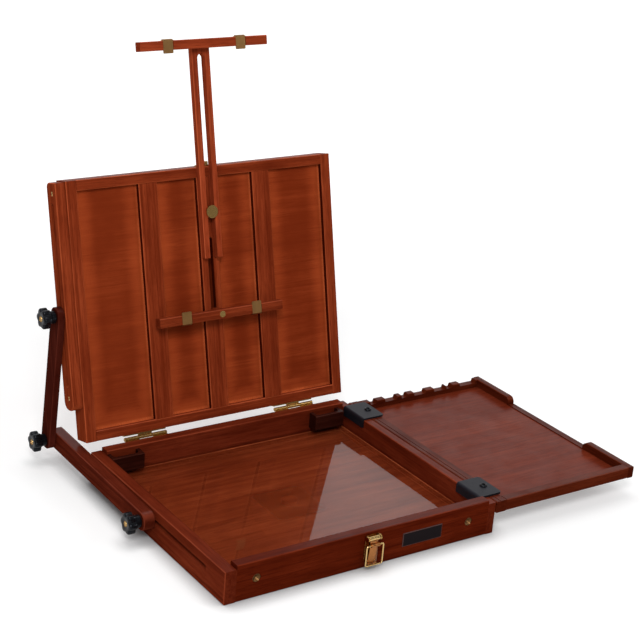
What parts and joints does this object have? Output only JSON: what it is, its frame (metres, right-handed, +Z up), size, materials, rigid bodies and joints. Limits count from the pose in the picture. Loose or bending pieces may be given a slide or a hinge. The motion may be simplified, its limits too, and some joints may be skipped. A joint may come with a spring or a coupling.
{
  "type": "pochade box",
  "caption": "Hardwood pochade box: paint box base with glass palette, leaning easel lid with sliding clamp bars, lid stay arms with knobs, draw latch and hook-on side tray.",
  "frame": {"origin": "centre of the base's underside, on the axis of the tripod socket", "axes": "+X to the painter's right, +Y to the back, +Z up; the lid turns about X"},
  "size_m": [0.5568, 0.3869, 0.4487],
  "materials": {
    "mahogany": "red-brown hardwood, satin lacquer",
    "dark_mahogany": "dark stained hardwood, satin",
    "lid_panel": "red-brown panel, satin, lighter where it is worn",
    "tray_floor": "thin red-brown panel, satin",
    "glass": "clear float glass over the dark floor",
    "brass": "polished brass",
    "worn_brass": "dulled brass",
    "black_steel": "black powder coat",
    "steel": "zinc-plated steel",
    "black_plastic": "glossy black phenolic",
    "plate_black": "bare dark plate"
  },
  "bodies": {
    "base": {"base_front_wall": "mahogany", "base_back_wall": "mahogany", "base_left_wall": "mahogany", "base_right_wall": "mahogany", "base_floor": "mahogany", "palette_glass": "glass", "tripod_plate": "steel", "corner_block_left": "dark_mahogany", "corner_block_right": "dark_mahogany", "front_inserts": "brass", "name_plate": "plate_black", "hinge_base_leaves": "brass", "hinge_pins": "brass", "latch_base": "brass"},
    "lid": {"lid_left_rail": "mahogany", "lid_right_rail": "mahogany", "lid_bottom_rail": "mahogany", "lid_top_rail": "mahogany", "lid_front_panel": "lid_panel", "lid_back_panel": "lid_panel", "lid_core_rib": "mahogany", "lid_stile_left": "mahogany", "lid_stile_middle": "mahogany", "lid_stile_right": "mahogany", "side_bar": "mahogany", "side_bar_screws": "brass", "hinge_lid_leaves": "brass", "catch_plate": "brass", "mast_bolt": "brass"},
    "arm_slider": {"front_bolt": "brass"},
    "lower_arm": {"lower_arm": "mahogany", "rear_bolt": "brass"},
    "upper_arm": {"upper_arm": "mahogany", "top_bolt": "brass"},
    "front_knob": {"front_knob": "black_plastic"},
    "rear_knob": {"rear_knob": "black_plastic"},
    "top_knob": {"top_knob": "black_plastic"},
    "mast": {"mast": "mahogany", "top_bar": "mahogany", "top_clip_pins": "brass"},
    "mast_knob": {"mast_knob": "black_plastic"},
    "bottom_bar": {"bottom_bar": "mahogany", "bottom_bar_stud": "brass", "bottom_clip_pins": "brass"},
    "bottom_bar_knob": {"bottom_bar_knob": "black_plastic"},
    "top_clip_left": {"top_clip_left": "worn_brass"},
    "top_clip_right": {"top_clip_right": "worn_brass"},
    "bottom_clip_left": {"bottom_clip_left": "worn_brass"},
    "bottom_clip_right": {"bottom_clip_right": "worn_brass"},
    "latch_lever": {"latch_lever": "brass"},
    "latch_bail": {"latch_bail": "brass"},
    "tray": {"tray_left_wall": "mahogany", "tray_right_wall": "mahogany", "tray_front_wall": "mahogany", "tray_back_wall": "mahogany", "tray_floor": "tray_floor", "tray_brackets": "black_steel", "bracket_screws": "black_steel"}
  },
  "joints": [
    {"name": "lid_hinge", "type": "hinge", "parent": "base", "child": "lid", "pos_m": [0, 0.1425, 0.039], "axis": [1, 0, 0], "range_deg": [-6.5, 103.5]},
    {"name": "arm_slide", "type": "slide", "parent": "base", "child": "arm_slider", "axis": [0, 1, 0], "range_m": [-0.036, 0.0025]},
    {"name": "lower_arm_hinge", "type": "hinge", "parent": "arm_slider", "child": "lower_arm", "pos_m": [-0.1691, 0.005, 0.022], "axis": [1, 0, 0], "range_deg": [-0.5, 2]},
    {"name": "upper_arm_hinge", "type": "hinge", "parent": "lower_arm", "child": "upper_arm", "pos_m": [-0.1798, 0.205, 0.0248], "axis": [1, 0, 0], "range_deg": [-5, 74.5]},
    {"name": "front_knob_turn", "type": "hinge", "parent": "arm_slider", "child": "front_knob", "pos_m": [-0.183, 0.005, 0.022], "axis": [1, 0, 0], "continuous": true},
    {"name": "rear_knob_turn", "type": "hinge", "parent": "lower_arm", "child": "rear_knob", "pos_m": [-0.191, 0.205, 0.0248], "axis": [1, 0, 0], "continuous": true},
    {"name": "top_knob_turn", "type": "hinge", "parent": "upper_arm", "child": "top_knob", "pos_m": [-0.191, 0.18757, 0.17319], "axis": [1, 0, 0], "continuous": true},
    {"name": "mast_slide", "type": "slide", "parent": "lid", "child": "mast", "axis": [0, 0.2334, 0.9724], "range_m": [-0.1605, 0.0105]},
    {"name": "mast_knob_turn", "type": "hinge", "parent": "lid", "child": "mast_knob", "pos_m": [0, 0.22595, 0.25807], "axis": [0, -0.9724, 0.2334], "continuous": true},
    {"name": "bottom_bar_slide", "type": "slide", "parent": "lid", "child": "bottom_bar", "axis": [0, 0.2334, 0.9724], "range_m": [0, 0.08]},
    {"name": "bottom_bar_knob_turn", "type": "hinge", "parent": "bottom_bar", "child": "bottom_bar_knob", "pos_m": [0, 0.20003, 0.15014], "axis": [0, -0.9724, 0.2334], "continuous": true},
    {"name": "top_clip_left_hinge", "type": "hinge", "parent": "mast", "child": "top_clip_left", "pos_m": [-0.044, 0.22399, 0.44654], "axis": [1, 0, 0], "range_deg": [-25, 0]},
    {"name": "top_clip_right_hinge", "type": "hinge", "parent": "mast", "child": "top_clip_right", "pos_m": [0.044, 0.22399, 0.44654], "axis": [1, 0, 0], "range_deg": [-25, 0]},
    {"name": "bottom_clip_left_hinge", "type": "hinge", "parent": "bottom_bar", "child": "bottom_clip_left", "pos_m": [-0.044, 0.15438, 0.15658], "axis": [-1, 0, 0], "range_deg": [-25, 0]},
    {"name": "bottom_clip_right_hinge", "type": "hinge", "parent": "bottom_bar", "child": "bottom_clip_right", "pos_m": [0.044, 0.15438, 0.15658], "axis": [-1, 0, 0], "range_deg": [-25, 0]},
    {"name": "latch_lever_hinge", "type": "hinge", "parent": "base", "child": "latch_lever", "pos_m": [0.004, -0.1426, 0.0336], "axis": [1, 0, 0], "range_deg": [-100, 0]},
    {"name": "latch_bail_hinge", "type": "hinge", "parent": "latch_lever", "child": "latch_bail", "pos_m": [0.004, -0.1455, 0.0275], "axis": [-1, 0, 0], "range_deg": [0, 193.1]},
    {"name": "tray_lift", "type": "slide", "parent": "base", "child": "tray", "axis": [0, 0, -1], "range_m": [-0.02, 0]}
  ],
  "couplings": [
    {"joint": "arm_slide", "follows": "lid_hinge", "m_per_rad": -0.019767},
    {"joint": "lower_arm_hinge", "follows": "lid_hinge", "ratio": 0.0135},
    {"joint": "upper_arm_hinge", "follows": "lid_hinge", "ratio": 0.7102},
    {"joint": "mast_slide", "follows": "lid_hinge", "m_per_rad": -0.088573}
  ]
}
